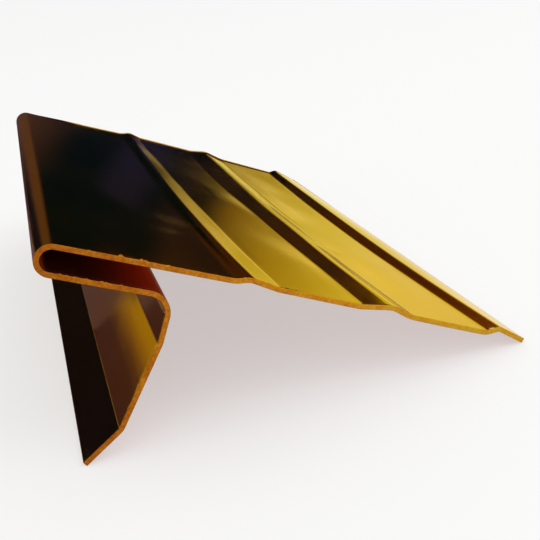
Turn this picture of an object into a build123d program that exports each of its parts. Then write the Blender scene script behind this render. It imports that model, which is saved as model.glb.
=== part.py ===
from build123d import *
from math import atan2, cos, degrees, radians, sin, tan
import os

# A short length of copper drip edge: one sheet, bent to a constant section.
# The section is drawn with the roof flange level: x runs from the nose to the roof side,
# y is up, and the point (0, 0) is where the flange's top plane meets the nose's outermost line.
# All the sizes are in millimetres and all the angles in degrees.

# Sheet
SHEET = 0.69
LENGTH = 101.6

# Roof flange, from the nose to the lip's edge
FLANGE = 65.3
FLANGE_DROOP = 0.95
LIP = 3.75
LIP_FALL = 15.3

# Stiffening ribs along the flange, spaced from the lip's crest back to the nose
BACK_RIB_PITCH = 17.3
FRONT_RIB_PITCH = 19.45
FRONT_RIB_HEIGHT = 0.52
FRONT_RIB_RISE = 1.7
FRONT_RIB_FALL = 4.2
BACK_RIB_HEIGHT = 0.72
BACK_RIB_RISE = 3.75
BACK_RIB_FALL = 3.1
LIP_RIB_HEIGHT = 0.9
LIP_RIB_RISE = 3.1
RIB_FOOT_RADIUS = 4.0
RIB_CREST_RADIUS = 3.5
RIB_HEEL_RADIUS = 7.0
LIP_CREST_RADIUS = 1.5

# Rounded nose and the return under it
HEM_GAP = 2.65
OVERHANG = 16.75

# Drip leg, measured down its front from the return's underside
KNEE_RADIUS = 2.3
SHANK = 5.55
FACE = 11.7
FACE_LEAN = 9.6
FACE_RADIUS = 3.0
KICK = 6.0
KICK_LEAN = 32.3
KICK_RADIUS = 1.2

# Rib crests, from the roof side to the nose
lip_crest = FLANGE - LIP
back_crest = lip_crest - BACK_RIB_PITCH
front_crest = back_crest - FRONT_RIB_PITCH


def flange_top(x):
    """Height of the flange's top at x: level up to the first rib, then falling gently."""
    return -max(0, x - front_crest) * tan(radians(FLANGE_DROOP))


def rib_corners(crest, rise, height):
    """The foot and the crest of a rib, as drawn before the corners are rounded."""
    foot = crest - rise
    return [(foot, flange_top(foot)), (crest, flange_top(crest) + height)]


def rib_heel(crest, fall):
    """The point behind a rib where its fall meets the next flat."""
    heel = crest + fall
    return (heel, flange_top(heel))


# Top of the flange, from the nose's top to the lip
nose_radius = HEM_GAP / 2 + SHEET
nose_top = (nose_radius, 0)
lip_top = (FLANGE, flange_top(lip_crest) + LIP_RIB_HEIGHT - LIP * tan(radians(LIP_FALL)))
flange_line = [nose_top]
flange_line += rib_corners(front_crest, FRONT_RIB_RISE, FRONT_RIB_HEIGHT)
flange_line += [rib_heel(front_crest, FRONT_RIB_FALL)]
flange_line += rib_corners(back_crest, BACK_RIB_RISE, BACK_RIB_HEIGHT)
flange_line += [rib_heel(back_crest, BACK_RIB_FALL)]
flange_line += rib_corners(lip_crest, LIP_RIB_RISE, LIP_RIB_HEIGHT)
flange_line += [lip_top]
rib_radii = [RIB_FOOT_RADIUS, RIB_CREST_RADIUS, RIB_HEEL_RADIUS]
flange_radii = rib_radii + rib_radii + [RIB_FOOT_RADIUS, LIP_CREST_RADIUS]

# Underside of the return and the front of the leg, from the nose's bottom to the drip
leg_front = OVERHANG - SHEET
nose_bottom = (nose_radius, -2 * nose_radius)
knee = (leg_front, nose_bottom[1])
shank_end = (leg_front, knee[1] - SHANK)
face_end = (
    shank_end[0] - FACE * sin(radians(FACE_LEAN)),
    shank_end[1] - FACE * cos(radians(FACE_LEAN)),
)
drip_front = (
    face_end[0] - KICK * sin(radians(KICK_LEAN)),
    face_end[1] - KICK * cos(radians(KICK_LEAN)),
)
leg_line = [nose_bottom, knee, shank_end, face_end, drip_front]
leg_radii = [KNEE_RADIUS, FACE_RADIUS, KICK_RADIUS]

# Section: the outer skin as one line, thickened inwards by the sheet
flange_skin = FilletPolyline(*flange_line, radius=flange_radii)
nose_skin = RadiusArc(nose_top, nose_bottom, -nose_radius)
leg_skin = FilletPolyline(*leg_line, radius=leg_radii)
outer_skin = Wire(flange_skin.edges() + [nose_skin.edge()] + leg_skin.edges())
section = make_face(offset(outer_skin, amount=SHEET, side=Side.RIGHT).edges())
strip = extrude(Plane.XZ * section, amount=LENGTH / 2, both=True)

# Rest: the strip stands on the drip's back corner and on the lip's lower corner
lip_low = (
    lip_top[0] - SHEET * sin(radians(LIP_FALL)),
    lip_top[1] - SHEET * cos(radians(LIP_FALL)),
)
drip_low = (
    drip_front[0] + SHEET * cos(radians(KICK_LEAN)),
    drip_front[1] - SHEET * sin(radians(KICK_LEAN)),
)
rest_tilt = degrees(atan2(lip_low[1] - drip_low[1], lip_low[0] - drip_low[0]))
drip_edge = Rot(0, rest_tilt, 0) * strip
box = drip_edge.bounding_box()
drip_edge = Pos(-box.center().X, -box.center().Y, -box.min.Z) * drip_edge

os.makedirs("parts", exist_ok=True)
export_step(drip_edge, "parts/drip_edge.step")
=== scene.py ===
import math

import bmesh
import bpy
import numpy as np
from mathutils import Matrix, Vector


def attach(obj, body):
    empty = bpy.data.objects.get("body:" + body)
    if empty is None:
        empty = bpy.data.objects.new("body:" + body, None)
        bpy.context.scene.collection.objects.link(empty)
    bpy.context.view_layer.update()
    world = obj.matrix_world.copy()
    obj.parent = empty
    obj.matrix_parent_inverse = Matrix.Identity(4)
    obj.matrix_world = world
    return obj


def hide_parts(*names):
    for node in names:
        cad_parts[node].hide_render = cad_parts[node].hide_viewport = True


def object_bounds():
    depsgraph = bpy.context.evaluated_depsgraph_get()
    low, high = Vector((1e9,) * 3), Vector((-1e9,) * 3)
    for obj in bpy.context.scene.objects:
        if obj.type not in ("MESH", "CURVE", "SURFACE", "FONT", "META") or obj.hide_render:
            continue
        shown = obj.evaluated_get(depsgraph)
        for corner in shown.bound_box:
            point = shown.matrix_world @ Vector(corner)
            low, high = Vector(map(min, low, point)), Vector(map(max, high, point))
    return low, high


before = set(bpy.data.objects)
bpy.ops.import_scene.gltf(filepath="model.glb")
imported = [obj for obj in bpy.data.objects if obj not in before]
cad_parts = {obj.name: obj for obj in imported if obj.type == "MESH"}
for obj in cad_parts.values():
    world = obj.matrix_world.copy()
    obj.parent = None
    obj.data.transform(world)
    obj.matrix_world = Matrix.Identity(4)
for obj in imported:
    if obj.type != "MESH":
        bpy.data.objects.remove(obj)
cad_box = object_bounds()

# A short length of polished copper drip edge on a pale floor.
# x runs from the nose to the roof side, y along the strip away from the camera, z up.
# Lengths are in metres where no comment names millimetres.
# Angles are in degrees where no comment names radians.
MM = 0.001

# Camera, with its lens and sensor in millimetres
CAMERA_PLACE = (-0.02593, -0.14482, 0.05601)
CAMERA_RIGHT = (0.94805, -0.28308, -0.14514)
CAMERA_UP = (0.23287, 0.30673, 0.92287)
CAMERA_LENS = 57.87
CAMERA_SENSOR = 36.0
CAMERA_CLIP_START = 0.005

# Reading the solid's near end
POINT_GRID = 1e7  # steps to the metre, by which points that lie together are found
END_DEPTH = 1e-6  # points this close to the near end belong to it
SHARP_TURN = 60.0  # a corner this sharp is an edge of the sheet

# Points along the section
FLAT_STEP = 0.25 * MM  # longest step along a flat
ARC_STEP = 3.0  # largest turn in a step round an arc
SUB_STEPS = 8  # parts into which a step is split to add up its curve
FLAT_TO_CHORD = 2.2  # a side this many times as long as its neighbour is a flat beside an arc

# Rows of points along the strip
SLICES = 48  # even steps from end to end
END_ROWS = (0.0, 0.05 * MM, 0.15 * MM, 0.4 * MM, 1.0 * MM)  # closer rows, from the rounded edge on
END_ROOM = 0.10 * MM  # how far each end stays inside the solid's end, for the grain of the cut

# Cut edges
ACROSS = (0.0, 0.03, 0.08, 0.16, 0.30, 0.50, 0.70, 0.84, 0.92, 0.97, 1.0)  # shares of the thickness
EDGE_ROUND = 0.07 * MM  # radius of the edges
GRAIN = 0.006 * MM  # roughness of the two ends
RAGGED = 0.014 * MM  # how far the near end's outer edge wanders inwards
RAGGED_ROWS = (1.0, 1.0, 0.4)  # share of that on the first rows
SEED = 7

# Specks of burr on the near end, in millimetres, as (distance from the nose, size):
# on the flange's top edge and on the return's inner edge
BURRS = (
    (5.8, 0.10), (9.2, 0.26), (9.6, 0.18), (11.7, 0.22), (12.3, 0.16), (14.9, 0.10), (24.1, 0.10),
)
RETURN_BURRS = (
    (3.3, 0.16), (3.9, 0.12), (5.1, 0.10), (6.2, 0.13), (7.9, 0.17), (8.6, 0.09), (10.3, 0.14),
)
BURR_ROWS = (1.0, 0.5)  # share of a burr's size on the first rows

# How the rolled ribs run nearer the nose than drawn, in millimetres:
# (place on the flange, shift at the near end, a third along, two thirds along, at the far end)
RIB_RUN = (
    (14.0, 0.0, 0.0, 0.0, 0.0),
    (23.1, -0.3, 0.9, 0.9, 0.5),
    (24.8, -0.3, 1.35, 1.2, 0.7),
    (29.0, 0.0, 1.6, 2.1, 2.5),
    (34.0, 0.0, 1.0, 1.6, 1.6),
    (40.5, 0.3, 1.55, 2.8, 1.8),
    (44.2, -0.5, 1.7, 1.9, 2.1),
    (47.3, -0.2, 1.3, 1.5, 1.3),
    (53.0, 0.0, 1.0, 1.2, 0.4),
    (58.5, -0.7, 1.25, 1.4, -0.2),
    (61.5, 0.6, 2.3, 2.1, 1.6),
    (65.3, 0.0, 0.0, 0.0, 0.0),
)
STATIONS = (-1, -1 / 3, 1 / 3, 1)  # where those shifts are given, in half lengths from the middle

# How the far end springs up between the first flat and the lip, in millimetres:
# (place on the flange, height)
FAR_LIFT = ((14.0, 0.0), (26.0, 0.25), (40.0, 0.30), (52.0, 0.15), (60.0, 0.0))
SPRING_START = 0.05  # where the spring begins, in half lengths from the middle
STOP_BLEND = 0.6  # millimetres to each side over which RIB_RUN and FAR_LIFT are smoothed

# How the far end's edge curls up from its shearing, as (length, height), in millimetres
END_CURL = (0.8, 0.30)

# Small dents, in millimetres: (place on the flange, place along the strip, radius, depth)
DENTS = ((46.6, -24.0, 1.6, 0.07), (31.5, 6.0, 3.5, 0.05), (12.0, 22.0, 5.0, 0.05))

# Slight waves of the flats: (length across, length along, turn in radians, height), in millimetres
WAVES = ((31.0, 47.0, 0.4, 0.020), (19.0, 33.0, 2.1, 0.012), (43.0, 26.0, 4.4, 0.010))

# The curl, dents and waves leave the nose and the lip's edge as they are, in millimetres
CALM_NOSE = 4.0  # none of them this near the nose
CALM_FADE = 8.0  # distance over which they grow to their full height

# Brown smudges on the polished side, in millimetres: (centre, radius)
SMUDGES = (((-11.6, -26.0, 19.4), 6.0), ((-12.9, -33.0, 20.0), 4.0))
SMUDGE_WEIGHT = 0.32  # how much a smudge adds to the noises at its centre

# Colour of the cut edges, redder at the nose and yellower at the lip
TONE_RUN = (-0.030, 0.020)  # x from which and to which it changes
TONE_CHANGE = 0.65  # share of its ramp that it crosses on the way

# The sheet's materials, by their place in its list
POLISHED, SHEARED, BARE = 0, 1, 2


# Shape of the sheet
def end_outline(node):
    """The corners of a CAD node's near end, in order round its outline, as (x, z)."""
    mesh = node.data
    spots = np.empty(len(mesh.vertices) * 3)
    mesh.vertices.foreach_get("co", spots)
    spots = spots.reshape(-1, 3)
    keys = [tuple(k) for k in np.round(spots * POINT_GRID).astype(int)]
    first = {}
    same = [first.setdefault(k, i) for i, k in enumerate(keys)]
    near = spots[:, 1] < spots[:, 1].min() + END_DEPTH
    edges = set()
    for face in mesh.polygons:
        corners = [same[v] for v in face.vertices]
        if all(near[c] for c in corners):
            edges.update(zip(corners, corners[1:] + corners[:1]))
    following = {a: b for a, b in edges if (b, a) not in edges}
    loop = [min(following)]
    while following[loop[-1]] != loop[0]:
        loop.append(following[loop[-1]])
    return spots[loop][:, [0, 2]]


def turn_between(a, b):
    """The angle from heading a to heading b, in radians, between -pi and pi."""
    return (b - a + math.pi) % (2 * math.pi) - math.pi


def outer_skin(loop):
    """The outline's outer side from the lip to the drip, and the sheet's thickness."""
    steps = np.roll(loop, -1, axis=0) - loop
    heading = np.arctan2(steps[:, 1], steps[:, 0])
    turns = [abs(turn_between(heading[i - 1], heading[i])) for i in range(len(loop))]
    corners = [i for i, t in enumerate(turns) if t > math.radians(SHARP_TURN)]
    sides = []
    for a, b in zip(corners, corners[1:] + corners[:1]):
        count = (b - a) % len(loop)
        sides.append(loop[[(a + k) % len(loop) for k in range(count + 1)]])
    sides.sort(key=len)
    thickness = np.mean([np.linalg.norm(end[-1] - end[0]) for end in sides[:2]])
    skin = max(sides[-2:], key=lambda side: side[:, 1].max())
    if skin[0, 0] < skin[-1, 0]:
        skin = skin[::-1]
    return skin, thickness


def smooth_line(corners):
    """Fine points along a line of flats and arcs, and the line's heading at each, in radians."""
    steps = np.diff(corners, axis=0)
    sizes = np.linalg.norm(steps, axis=1)
    heading = np.unwrap(np.arctan2(steps[:, 1], steps[:, 0]))
    at_corner = [heading[0]]
    for before, after, a, b in zip(sizes, sizes[1:], heading, heading[1:]):
        if before > FLAT_TO_CHORD * after:
            at_corner.append(a)
        elif after > FLAT_TO_CHORD * before:
            at_corner.append(b)
        else:
            at_corner.append((a + b) / 2)
    at_corner.append(heading[-1])
    points, headings = [corners[0]], [at_corner[0]]
    for i, size in enumerate(sizes):
        start, end = at_corner[i], at_corner[i + 1]
        turn = math.degrees(abs(end - start))
        count = max(math.ceil(size / FLAT_STEP), math.ceil(turn / ARC_STEP))
        share = np.linspace(0, 1, count + 1)
        fine = np.linspace(0, 1, SUB_STEPS * count + 1)
        way = start + (end - start) * (fine[1:] + fine[:-1]) / 2
        run = np.cumsum(np.stack([np.cos(way), np.sin(way)], 1), axis=0)
        run = np.vstack([[0, 0], run])[::SUB_STEPS] * size / (SUB_STEPS * count)
        run += np.outer(share, steps[i] - run[-1])
        points += list(corners[i] + run[1:])
        headings += list(start + (end - start) * share[1:])
    return np.array(points), np.array(headings)


def flange_direction(skin):
    """The direction of the flange's longest flat, away from the nose."""
    steps = np.diff(skin, axis=0)
    sizes = np.linalg.norm(steps, axis=1)
    top = np.argmax(skin[:, 1])
    flat = np.argmax(np.where(np.arange(len(steps)) < top, sizes, 0))
    return -steps[flat] / sizes[flat]


def curve_at(stops, places):
    """A smoothed line through the stops, given in millimetres, at places in metres."""
    xs, ys = np.array(stops).T
    before = np.interp(places / MM - STOP_BLEND, xs, ys)
    after = np.interp(places / MM + STOP_BLEND, xs, ys)
    return MM * (before + after + np.interp(places / MM, xs, ys)) / 3


class Sheet:
    """The bent sheet: a ring of points round its section, and how the ring lies along the strip."""

    def __init__(self, node):
        skin, thickness = outer_skin(end_outline(node))
        self.line, heading = smooth_line(skin)
        self.inward = np.stack([-np.sin(heading), np.cos(heading)], 1)
        top = np.argmax(self.line[:, 1])
        if self.inward[top] @ (self.line.mean(axis=0) - self.line[top]) < 0:
            self.inward = -self.inward
        lo, hi = cad_box
        self.length = hi.y - lo.y
        self.half = self.length / 2 - END_ROOM

        # Flange: its direction away from the nose, its upper side and each point's place on it
        self.flange_way = flange_direction(skin)
        self.flange_up = np.array([-self.flange_way[1], self.flange_way[0]])
        reach = self.line @ self.flange_way
        self.nose = np.argmin(reach)
        self.flange = np.maximum(reach - (skin @ self.flange_way).min(), 0.0)
        self.flange[self.nose:] = 0.0

        # Rounded edges: how far a cut lies back at each depth into the sheet
        depth = np.array(ACROSS) * thickness
        rounded = np.minimum(np.minimum(depth, thickness - depth), EDGE_ROUND)
        self.dip = EDGE_ROUND - np.sqrt(EDGE_ROUND ** 2 - (EDGE_ROUND - rounded) ** 2)

        # Ring: the outer skin, the drip's edge, the inner skin and the lip's edge
        self.along, self.across = len(self.line), len(depth)
        self.inner_start = self.along + self.across - 2
        self.lip_start = self.inner_start + self.along
        forward = np.stack([np.cos(heading), np.sin(heading)], 1)
        drip_side = self.line[-1] + np.outer(depth, self.inward[-1]) - np.outer(self.dip, forward[-1])
        lip_side = self.line[0] + np.outer(depth, self.inward[0]) + np.outer(self.dip, forward[0])
        outer_side = self.line.copy()
        inner_side = self.line + self.inward * thickness
        outer_side[0], outer_side[-1] = lip_side[0], drip_side[0]
        inner_side[0], inner_side[-1] = lip_side[-1], drip_side[-1]
        self.ring = np.vstack([outer_side, drip_side[1:-1], inner_side[::-1], lip_side[1:-1][::-1]])
        self.finish = np.full(len(self.ring), POLISHED)
        self.finish[self.along - 1:self.inner_start] = SHEARED
        self.finish[self.inner_start:self.lip_start - 1] = BARE
        self.finish[self.lip_start - 1:] = SHEARED

        # Bow of the ribs, spring of the far end and calm of the nose and the lip, for each point
        drip_place = np.zeros(self.across - 2)
        lip_place = np.full(self.across - 2, self.flange[0])
        self.place = np.concatenate([self.flange, drip_place, self.flange[::-1], lip_place])
        self.bows = [
            curve_at([(stop[0], stop[k + 1]) for stop in RIB_RUN], self.place)
            for k in range(len(STATIONS))
        ]
        self.lift = curve_at(FAR_LIFT, self.place)
        from_nose = self.place / MM - CALM_NOSE
        from_lip = (self.flange[0] - self.place) / MM
        self.calm = np.clip(np.minimum(from_nose, from_lip) / CALM_FADE, 0, 1)

    def ring_at(self, y):
        """The ring at a place along the strip, bowed and with the flats' small faults, as (x, z)."""
        way = 2 * y / self.length
        bow = np.zeros(len(self.ring))
        for here, shift in zip(STATIONS, self.bows):
            others = [t for t in STATIONS if t != here]
            bow += shift * math.prod((way - t) / (here - t) for t in others)
        spring = np.clip((way - SPRING_START) / (1 - SPRING_START), 0, 1) ** 2
        faults = np.zeros(len(self.ring))
        for length_across, length_along, turn, height in WAVES:
            phase = 2 * math.pi * (self.place / length_across + y / length_along) / MM + turn
            faults += height * MM * np.sin(phase)
        curl_length, curl_height = END_CURL
        curl = max(0.0, (y - self.half) / MM + curl_length) / curl_length
        faults += curl_height * MM * curl ** 2
        for place, place_along, radius, dent in DENTS:
            away = np.hypot(self.place / MM - place, y / MM - place_along) / radius
            faults -= dent * MM * np.exp(-away ** 2)
        moved = self.ring - np.outer(bow, self.flange_way)
        return moved + np.outer(self.lift * spring + faults * self.calm, self.flange_up)

    def rows(self):
        """The places of the rows of points along the strip."""
        end_rows = np.array(END_ROWS)
        return np.concatenate([
            -self.half + EDGE_ROUND + end_rows,
            np.linspace(-self.half, self.half, SLICES + 1)[1:-1],
            (self.half - EDGE_ROUND - end_rows)[::-1],
        ])

    def roughen(self, spots, generator):
        """Makes the near end's outer edge ragged and draws the burrs out of its edges."""
        ragged = np.abs(generator.normal(0, RAGGED, self.along - 2))
        for row, share in enumerate(RAGGED_ROWS):
            spots[row, 1:self.along - 1, ::2] += self.inward[1:-1] * ragged[:, None] * share
        reach = (self.line[self.nose:] - self.line[self.nose]) @ self.flange_way
        for row, share in enumerate(BURR_ROWS):
            for place, size in BURRS:
                k = np.argmin(np.abs(self.flange - place * MM))
                spots[row, k, ::2] -= self.inward[k] * size * MM * share
            for place, size in RETURN_BURRS:
                k = self.nose + np.argmin(np.abs(reach - place * MM))
                spots[row, self.lip_start - 1 - k, ::2] += self.inward[k] * size * MM * share

    def cap_numbers(self, first):
        """A grid of vertex numbers over an end's cut, with its border's filled in."""
        edge = np.arange(self.across - 2)
        number = np.empty((self.along, self.across), int)
        number[:, 0] = first + np.arange(self.along)
        number[-1, 1:-1] = first + self.along + edge
        number[:, -1] = first + self.inner_start + np.arange(self.along)[::-1]
        number[0, 1:-1] = first + self.lip_start + edge[::-1]
        return number


def sheet_mesh(name):
    """The bent sheet as one closed mesh: polished outside, bare inside, sheared ends and edges."""
    shape = Sheet(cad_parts["drip_edge"])
    rows = shape.rows()
    count = len(shape.ring)
    spots = np.empty((len(rows), count, 3))
    for row, y in zip(spots, rows):
        row[:, ::2] = shape.ring_at(y)
        row[:, 1] = y
    generator = np.random.default_rng(SEED)
    shape.roughen(spots, generator)
    vertices = [tuple(v) for v in spots.reshape(-1, 3)]
    faces, finishes = [], []
    for r in range(len(rows) - 1):
        for k in range(count):
            a, b = r * count + k, r * count + (k + 1) % count
            faces.append((a, b, b + count, a + count))
            finishes.append(int(shape.finish[k]))

    # Ends: a grid over the cut, whose border is the last row
    for side, row in ((-1, 0), (1, len(rows) - 1)):
        ring = shape.ring_at(rows[row])
        outer = ring[:shape.along]
        inner = ring[shape.inner_start:shape.lip_start][::-1]
        number = shape.cap_numbers(row * count)
        grain = generator.normal(0, GRAIN, number.shape)
        for k in range(1, shape.along - 1):
            for s in range(1, shape.across - 1):
                x, z = outer[k] + (inner[k] - outer[k]) * ACROSS[s]
                number[k, s] = len(vertices)
                vertices.append((x, side * (shape.half - shape.dip[s] + grain[k, s]), z))
        for k in range(shape.along - 1):
            for s in range(shape.across - 1):
                quad = (number[k, s], number[k + 1, s], number[k + 1, s + 1], number[k, s + 1])
                faces.append(quad if side < 0 else quad[::-1])
                finishes.append(SHEARED)

    mesh = bpy.data.meshes.new(name)
    mesh.from_pydata(vertices, [], faces)
    mesh.polygons.foreach_set("use_smooth", [True] * len(faces))
    mesh.polygons.foreach_set("material_index", finishes)
    mesh.update()
    work = bmesh.new()
    work.from_mesh(mesh)
    bmesh.ops.recalc_face_normals(work, faces=work.faces)
    work.to_mesh(mesh)
    work.free()
    return mesh


# Materials
NOISE_SPAN = (0.3, 0.7)  # where most of a noise's values lie


def new_material(name):
    """A new material, its nodes and its links."""
    material = bpy.data.materials.new(name)
    material.use_nodes = True
    return material, material.node_tree.nodes, material.node_tree.links


def colour_ramp(nodes, stops):
    """A new colour ramp with these stops, as (place, colour)."""
    node = nodes.new("ShaderNodeValToRGB")
    elements = node.color_ramp.elements
    while len(elements) < len(stops):
        elements.new(0.5)
    for element, (place, colour) in zip(elements, stops):
        element.position = place
        element.color = (*colour, 1)
    return node


class Finish:
    """A metal finish on the Principled shader, with its nodes laid out by short calls."""

    def __init__(self, name, tint):
        self.material, self.nodes, self.links = new_material(name)
        self.shader = self.nodes["Principled BSDF"]
        self.shader.inputs["Metallic"].default_value = 1.0
        self.shader.inputs["Specular Tint"].default_value = (*tint, 1)
        self.place = self.nodes.new("ShaderNodeTexCoord").outputs["Object"]

    def noise(self, scale, detail=3.0, roughness=0.55, stretch=(1, 1, 1)):
        """A noise over the object's own coordinates, stretched along its axes."""
        mapping = self.nodes.new("ShaderNodeMapping")
        mapping.inputs["Scale"].default_value = stretch
        self.links.new(self.place, mapping.inputs["Vector"])
        texture = self.nodes.new("ShaderNodeTexNoise")
        texture.inputs["Scale"].default_value = scale
        texture.inputs["Detail"].default_value = detail
        texture.inputs["Roughness"].default_value = roughness
        self.links.new(mapping.outputs[0], texture.inputs["Vector"])
        return texture.outputs["Fac"]

    def spread(self, value, span, to):
        """A value's span mapped evenly to another span, and held at its ends."""
        node = self.nodes.new("ShaderNodeMapRange")
        for socket, number in zip(node.inputs[1:5], (*span, *to)):
            socket.default_value = number
        self.links.new(value, node.inputs[0])
        return node.outputs[0]

    def along_x(self, start, end):
        """Nothing at the first x, growing to one at the second."""
        split = self.nodes.new("ShaderNodeSeparateXYZ")
        self.links.new(self.place, split.inputs[0])
        return self.spread(split.outputs[0], (start, end), (0.0, 1.0))

    def near(self, centre, radius):
        """One at a point in millimetres, fading to nothing at a radius."""
        node = self.nodes.new("ShaderNodeVectorMath")
        node.operation = "DISTANCE"
        node.inputs[1].default_value = [c * MM for c in centre]
        self.links.new(self.place, node.inputs[0])
        return self.spread(node.outputs["Value"], (0.0, radius * MM), (1.0, 0.0))

    def combine(self, operation, a, b):
        """Two values, each a plain float or a socket, in one Math node."""
        node = self.nodes.new("ShaderNodeMath")
        node.operation = operation
        for socket, value in zip(node.inputs, (a, b)):
            if isinstance(value, float):
                socket.default_value = value
            else:
                self.links.new(value, socket)
        return node.outputs[0]

    def ramp(self, value, stops):
        """A value turned to colours by stops, as (value, colour)."""
        node = colour_ramp(self.nodes, stops)
        self.links.new(value, node.inputs[0])
        return node.outputs[0]

    def bump(self, height, distance, strength=1.0):
        """Fine relief on the shader."""
        node = self.nodes.new("ShaderNodeBump")
        node.inputs["Strength"].default_value = strength
        node.inputs["Distance"].default_value = distance
        self.links.new(height, node.inputs["Height"])
        self.links.new(node.outputs[0], self.shader.inputs["Normal"])

    def drive(self, socket, value):
        """Links a value to one of the shader's sockets."""
        self.links.new(value, self.shader.inputs[socket])


def polished_copper():
    """The lacquered outside: a warm gold mirror with faint rolling lines and a few smudges."""
    finish = Finish("polished_copper", tint=(0.95, 0.80, 0.36))
    finish.shader.inputs["Sheen Weight"].default_value = 0.003
    finish.shader.inputs["Sheen Roughness"].default_value = 0.5
    finish.shader.inputs["Sheen Tint"].default_value = (0.60, 0.80, 1.0, 1)
    patches = finish.noise(70, detail=4)
    smudges = finish.noise(85, detail=6, roughness=0.7, stretch=(1, 0.6, 1))
    for centre, radius in SMUDGES:
        mark = finish.combine("MULTIPLY", finish.near(centre, radius), SMUDGE_WEIGHT)
        smudges = finish.combine("ADD", smudges, mark)
        patches = finish.combine("ADD", patches, mark)
    finish.drive("Metallic", finish.spread(smudges, (0.62, 0.85), to=(1.0, 0.93)))
    finish.drive("Base Color", finish.ramp(patches, [
        (0.30, (0.77, 0.48, 0.085)), (0.50, (0.80, 0.52, 0.10)), (0.70, (0.82, 0.55, 0.11)),
        (0.85, (0.72, 0.42, 0.09)), (1.0, (0.62, 0.32, 0.07)),
    ]))
    streaks = finish.noise(900, detail=2, stretch=(1, 0.03, 1))
    haze = finish.noise(45, detail=5, roughness=0.65)
    rough = finish.spread(streaks, NOISE_SPAN, to=(0.06, 0.095))
    hazy = finish.spread(haze, (0.45, 0.75), to=(0.0, 0.07))
    finish.drive("Roughness", finish.combine("ADD", rough, hazy))
    finish.bump(streaks, distance=0.002 * MM)
    return finish.material


def bare_copper():
    """The inside: unpolished, dull red copper."""
    finish = Finish("bare_copper", tint=(0.80, 0.40, 0.25))
    patches = finish.noise(60, detail=5)
    finish.drive("Base Color", finish.ramp(patches, [
        (0.30, (0.45, 0.135, 0.085)), (0.55, (0.51, 0.165, 0.10)), (0.75, (0.57, 0.20, 0.11)),
    ]))
    streaks = finish.noise(700, detail=2, stretch=(1, 0.04, 1))
    finish.drive("Roughness", finish.spread(streaks, NOISE_SPAN, to=(0.28, 0.40)))
    finish.bump(streaks, distance=0.004 * MM)
    return finish.material


def sheared_copper():
    """The cut edges: bare orange metal, ragged and grainy, yellower towards the lip."""
    finish = Finish("sheared_copper", tint=(0.95, 0.70, 0.30))
    grain = finish.noise(2600, detail=3, roughness=0.7)
    patches = finish.noise(420, detail=3)
    tone = finish.combine("MULTIPLY", finish.along_x(*TONE_RUN), TONE_CHANGE)
    tone = finish.combine("ADD", tone, finish.spread(patches, NOISE_SPAN, to=(0.0, 0.3)))
    tone = finish.combine("ADD", tone, finish.spread(grain, NOISE_SPAN, to=(-0.22, 0.28)))
    finish.drive("Base Color", finish.ramp(tone, [
        (0.0, (0.30, 0.075, 0.006)), (0.3, (0.42, 0.13, 0.009)),
        (0.65, (0.56, 0.24, 0.015)), (1.0, (0.57, 0.36, 0.03)),
    ]))
    finish.drive("Roughness", finish.spread(patches, NOISE_SPAN, to=(0.36, 0.52)))
    finish.bump(grain, distance=0.03 * MM, strength=0.6)
    return finish.material


# Part
sheet = bpy.data.objects.new("drip_edge_sheet", sheet_mesh("drip_edge_sheet"))
bpy.context.scene.collection.objects.link(sheet)
sheet.data.materials.append(polished_copper())
sheet.data.materials.append(sheared_copper())
sheet.data.materials.append(bare_copper())
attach(sheet, "root")
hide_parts("drip_edge")

# Floor
FLOOR_REACH = 8.0
FLOOR_DROP = 0.02 * MM  # how far it lies below the part
FLOOR_COLOUR = (0.93, 0.93, 0.92)
FLOOR_ROUGHNESS = 0.9
FLOOR_GLOW = 0.5


def floor_material(colour, roughness, glow):
    """A matt floor that keeps the part's shadow, and glows by a share where it is seen or mirrored."""
    material, nodes, links = new_material("floor")
    shader = nodes["Principled BSDF"]
    shader.inputs["Base Color"].default_value = (*colour, 1)
    shader.inputs["Roughness"].default_value = roughness
    shader.inputs["Specular IOR Level"].default_value = 0.0
    emission = nodes.new("ShaderNodeEmission")
    path = nodes.new("ShaderNodeLightPath")
    seen = path.outputs["Is Camera Ray"]
    for ray in ("Is Glossy Ray", "Is Transmission Ray"):
        either = nodes.new("ShaderNodeMath")
        either.operation = "MAXIMUM"
        links.new(seen, either.inputs[0])
        links.new(path.outputs[ray], either.inputs[1])
        seen = either.outputs[0]
    share = nodes.new("ShaderNodeMath")
    share.operation = "MULTIPLY"
    share.inputs[1].default_value = glow
    links.new(seen, share.inputs[0])
    mix = nodes.new("ShaderNodeMixShader")
    links.new(share.outputs[0], mix.inputs[0])
    links.new(shader.outputs[0], mix.inputs[1])
    links.new(emission.outputs[0], mix.inputs[2])
    links.new(mix.outputs[0], nodes["Material Output"].inputs["Surface"])
    return material


floor_mesh = bpy.data.meshes.new("floor")
corners = [(x * FLOOR_REACH, y * FLOOR_REACH, 0) for x, y in ((-1, -1), (1, -1), (1, 1), (-1, 1))]
floor_mesh.from_pydata(corners, [], [(0, 1, 2, 3)])
floor = bpy.data.objects.new("floor", floor_mesh)
floor.location.z = -FLOOR_DROP
bpy.context.scene.collection.objects.link(floor)
floor_mesh.materials.append(floor_material(FLOOR_COLOUR, FLOOR_ROUGHNESS, FLOOR_GLOW))


# Cards: glowing sheets that are no lamps and are seen only in reflections, the painted reflection of
# the room that the polished metal mirrors, with painted shade and painted highlights in it
def glow_material(name, ramp):
    """A card's even glow, from its first edge to its last, as (place from 0 to 1, colour)."""
    material, nodes, links = new_material(name)
    nodes.remove(nodes["Principled BSDF"])
    emission = nodes.new("ShaderNodeEmission")
    links.new(emission.outputs[0], nodes["Material Output"].inputs["Surface"])
    place = nodes.new("ShaderNodeUVMap")
    split = nodes.new("ShaderNodeSeparateXYZ")
    colours = colour_ramp(nodes, ramp)
    links.new(place.outputs[0], split.inputs[0])
    links.new(split.outputs[0], colours.inputs[0])
    links.new(colours.outputs[0], emission.inputs["Color"])
    return material


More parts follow.
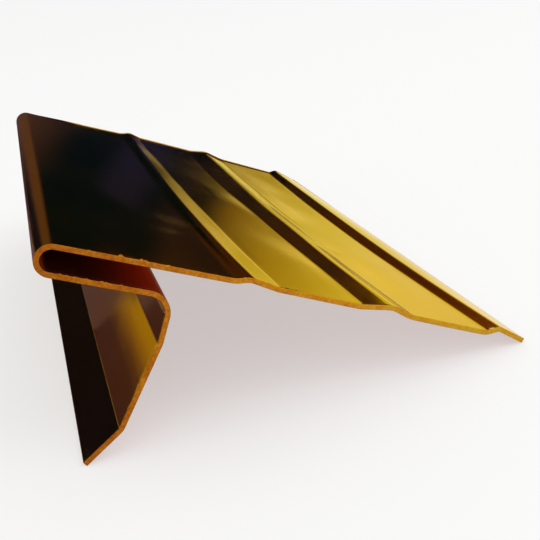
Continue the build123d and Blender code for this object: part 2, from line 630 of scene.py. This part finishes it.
def card(name, columns, stops):
    """A glowing card, seen only in reflections, from pairs of points along its two long edges, and its
    colours.

    The stops are (place, colour) from the first column to the last, and the places are in any one
    measure that grows or falls evenly from column to column.
    """
    start, end = stops[0][0], stops[-1][0]
    ramp = [((place - start) / (end - start), colour) for place, colour in stops]
    last = len(columns) - 1
    mesh = bpy.data.meshes.new(name)
    points = [point for pair in columns for point in pair]
    mesh.from_pydata(points, [], [(2 * i, 2 * i + 2, 2 * i + 3, 2 * i + 1) for i in range(last)])
    layer = mesh.uv_layers.new(name="across")
    for corner, loop in enumerate(mesh.loops):
        layer.data[corner].uv = ((loop.vertex_index // 2) / last, loop.vertex_index % 2)
    mesh.materials.append(glow_material(name, ramp))
    piece = bpy.data.objects.new(name, mesh)
    bpy.context.scene.collection.objects.link(piece)
    piece.visible_camera = False
    piece.visible_diffuse = False
    piece.visible_shadow = False


def round_point(reach, azimuth):
    """The x and y at a reach and an azimuth from the middle, with azimuths right of straight back."""
    return reach * math.sin(math.radians(azimuth)), reach * math.cos(math.radians(azimuth))


def upright(radius, spread, low, tops, pieces=48):
    """Pairs of points of an upright card curved round the part, from azimuth to azimuth.

    The tops are (azimuth, height) along the top edge.
    """
    pairs = []
    for azimuth in np.linspace(*spread, pieces + 1):
        x, y = round_point(radius, azimuth)
        pairs.append(((x, y, low), (x, y, np.interp(azimuth, *zip(*tops)))))
    return pairs


def floor_ring(centre_x, reaches, spread, height, pieces=46):
    """Pairs of points of a card over the floor, between two reaches and from azimuth to azimuth."""
    pairs = []
    for azimuth in np.linspace(*spread, pieces + 1):
        points = [round_point(reach, azimuth) for reach in reaches]
        pairs.append(tuple((centre_x + x, y, height) for x, y in points))
    return pairs


def floor_card(corners, height):
    """Pairs of points of a card over the floor, from its corners' pairs, in millimetres."""
    return [tuple((x * MM, y * MM, height * MM) for x, y in pair) for pair in corners]


def floor_band(x_run, y_run, height, pieces=24):
    """Pairs of points of a card over the floor that runs from x to x, in millimetres."""
    return floor_card([[(x, y) for y in y_run] for x in np.linspace(*x_run, pieces + 1)], height)


# The dark room behind the part, by azimuth: painted dark reflections, glowing cards seen only in
# reflections, with dim brown and red glows in them
# Glow colours of these painted reflections
BLACK = (0.002, 0.005, 0.020)
GREY = (0.011, 0.012, 0.090)
BLUE_BLACK = (0.008, 0.006, 0.040)
BROWN = (0.10, 0.052, 0.070)
DARK_MAUVE = (0.018, 0.011, 0.030)
DARK_RED = (0.16, 0.045, 0.004)
BACK = (-70, 80)
BACK_RADIUS = 0.42
BACK_LEFT = [(-70, BLUE_BLACK), (-18, BLUE_BLACK), (-12, BROWN), (-1, BROWN), (6, BLACK)]
BACK_TOPS = [(26, 0.55), (34, 0.30)]
MIDDLE_LOW = 0.075
MIDDLE_HIGH = 0.10
card("dark_card", upright(BACK_RADIUS, BACK, 0.0, [(0, MIDDLE_LOW)]), BACK_LEFT + [
    (9, BLACK), (10.5, GREY), (13, GREY), (14.5, BLACK), (17, DARK_MAUVE), (24, DARK_MAUVE),
    (31, (0.026, 0.013, 0.040)),
    (40, (0.050, 0.018, 0.010)),
    (80, DARK_RED),
])
card("dark_card_middle", upright(BACK_RADIUS, BACK, MIDDLE_LOW, [(0, MIDDLE_HIGH)]), BACK_LEFT + [
    (17, BLACK),
    (19, (0.036, 0.019, 0.035)),
    (31, (0.028, 0.013, 0.040)),
    (40, (0.050, 0.018, 0.010)),
    (48, DARK_RED), (80, DARK_RED),
])
card("dark_card_top", upright(BACK_RADIUS, BACK, MIDDLE_HIGH, BACK_TOPS), BACK_LEFT + [
    (13, BLACK),
    (18, (0.050, 0.020, 0.014)),
    (22, (0.060, 0.021, 0.014)),
    (29, (0.065, 0.020, 0.012)),
    (37, DARK_RED), (80, DARK_RED),
])

# The pale side of the room, in front of the dark one, by azimuth: painted bright reflections, glowing
# cards seen only in reflections
PALE = (17, 75)
PALE_RADIUS = 0.40
PALE_TOPS = [(25, 0.045), (32, 0.065), (40, 0.11), (75, 0.20)]
FOOT = (12, 75)
FOOT_TOP = 0.014
card("pale_card", upright(PALE_RADIUS, PALE, FOOT_TOP, PALE_TOPS), [
    (17, (0.010, 0.007, 0.006)),
    (18.5, (0.02, 0.014, 0.012)),
    (19.4, (0.065, 0.046, 0.02)),
    (21, (0.19, 0.135, 0.028)),
    (26, (0.40, 0.335, 0.060)),
    (36, (0.72, 0.70, 0.18)),
    (75, (0.95, 0.95, 0.60)),
])
card("pale_card_foot", upright(PALE_RADIUS, FOOT, 0.0, [(0, FOOT_TOP)]), [
    (12, (0.04, 0.03, 0.01)),
    (14, (0.10, 0.08, 0.03)),
    (15.5, (0.28, 0.24, 0.08)),
    (18.5, (0.52, 0.46, 0.18)),
    (19.5, (0.58, 0.53, 0.22)),
    (23, (0.80, 0.78, 0.42)),
    (27, (0.92, 0.92, 0.58)),
    (36, (1.0, 1.0, 0.72)),
    (75, (1.0, 1.0, 0.9)),
])

# Painted reflection of the floor behind the part and on the lip's side, by azimuth round a point under
# the flange: a glowing card just over the floor, seen only in reflections, dark brown at its left end
# and near white on the lip's side
FAN = (-12, 80)
FAN_X = 0.018
FAN_REACHES = (0.028, 0.375)
card("painted_floor_reflection", floor_ring(FAN_X, FAN_REACHES, FAN, height=0.3 * MM), [
    (-12, (0.10, 0.06, 0.02)),
    (0, (0.16, 0.10, 0.02)),
    (8, (0.26, 0.20, 0.03)),
    (12, (0.30, 0.235, 0.030)),
    (15.5, (0.39, 0.32, 0.038)),
    (20, (0.55, 0.52, 0.075)),
    (25, (0.71, 0.70, 0.20)),
    (33, (0.84, 0.83, 0.46)),
    (42, (0.90, 0.89, 0.76)),
    (60, (0.88, 0.88, 0.80)),
    (80, (0.88, 0.88, 0.90)),
])

# The floor beside the lip, by x in millimetres: a painted highlight, a glowing card just over the
# floor, white next to the lip and yellow further out, seen only in reflections
LIP_X = (30.5, 46)
LIP_Y = (-70, 260)
card("lip_card", floor_band(LIP_X, LIP_Y, height=0.4), [
    (30.5, (1.0, 1.0, 1.0)),
    (31.3, (0.97, 0.97, 0.75)),
    (32.5, (0.80, 0.78, 0.26)),
    (46, (0.70, 0.68, 0.16)),
])

# The floor on the nose's side, by x in millimetres: a painted reflection of the part's shadow on it, a
# glowing card just over the floor, dark next to the part and gold further out, seen only in
# reflections
SHADE_X = (-31, -150)
SHADE_Y = (-80, 180)
card("floor_shade", floor_band(SHADE_X, SHADE_Y, height=0.3), [
    (-31, (0.056, 0.024, 0.12)),
    (-50, (0.060, 0.028, 0.12)),
    (-55, (0.11, 0.056, 0.12)),
    (-61, (0.20, 0.115, 0.10)),
    (-67, (0.31, 0.19, 0.07)),
    (-76, (0.40, 0.28, 0.05)),
    (-100, (0.40, 0.30, 0.07)),
    (-150, (0.5, 0.42, 0.3)),
])

# Two plain glowing patches over it, in millimetres, seen only in reflections: a painted dark brown
# reflection far back that carries the painted shadow on, and a painted mauve reflection beside the
# part
UMBER = (0.055, 0.032, 0.020)
MAUVE = (0.100, 0.064, 0.28)
FAR_CORNERS = (((-31, 95), (-31, 420)), ((-60, 132), (-60, 420)), ((-150, 175), (-150, 420)))
MAUVE_PATCH_CORNERS = (((-31, 2), (-31, 90)), ((-36, 9), (-36, 95)), ((-75, 118), (-75, 119)))
card("floor_shade_far", floor_card(FAR_CORNERS, height=0.35), [(0, UMBER), (1, UMBER)])
card("painted_mauve_patch", floor_card(MAUVE_PATCH_CORNERS, height=0.5), [(0, MAUVE), (1, MAUVE)])

# Light, with the lamps as (name, place, size, power in watts)
WORLD_COLOUR = (1, 1, 1, 1)
WORLD_STRENGTH = 0.9
LAMPS = (("key", (0.5, -0.4, 0.7), 0.5, 1.0), ("fill", (0.7, -0.9, 0.25), 1.2, 1.2))
world = bpy.data.worlds.new("studio")
bpy.context.scene.world = world
world.use_nodes = True
background = world.node_tree.nodes["Background"]
background.inputs["Color"].default_value = WORLD_COLOUR
background.inputs["Strength"].default_value = WORLD_STRENGTH
for name, place, size, power in LAMPS:
    light = bpy.data.lights.new(name, "AREA")
    light.size = size
    light.energy = power
    lamp = bpy.data.objects.new(name, light)
    lamp.location = place
    lamp.rotation_euler = (-Vector(place)).to_track_quat("-Z", "Y").to_euler()
    bpy.context.scene.collection.objects.link(lamp)

# Camera
camera_data = bpy.data.cameras.new("camera")
camera_data.lens = CAMERA_LENS
camera_data.sensor_width = CAMERA_SENSOR
camera_data.clip_start = CAMERA_CLIP_START
camera = bpy.data.objects.new("camera", camera_data)
right, up = Vector(CAMERA_RIGHT), Vector(CAMERA_UP)
turn = Matrix((right, up, right.cross(up))).transposed()
camera.matrix_world = Matrix.Translation(CAMERA_PLACE) @ turn.to_4x4()
bpy.context.scene.collection.objects.link(camera)
bpy.context.scene.camera = camera
bpy.context.scene.view_settings.view_transform = "Standard"
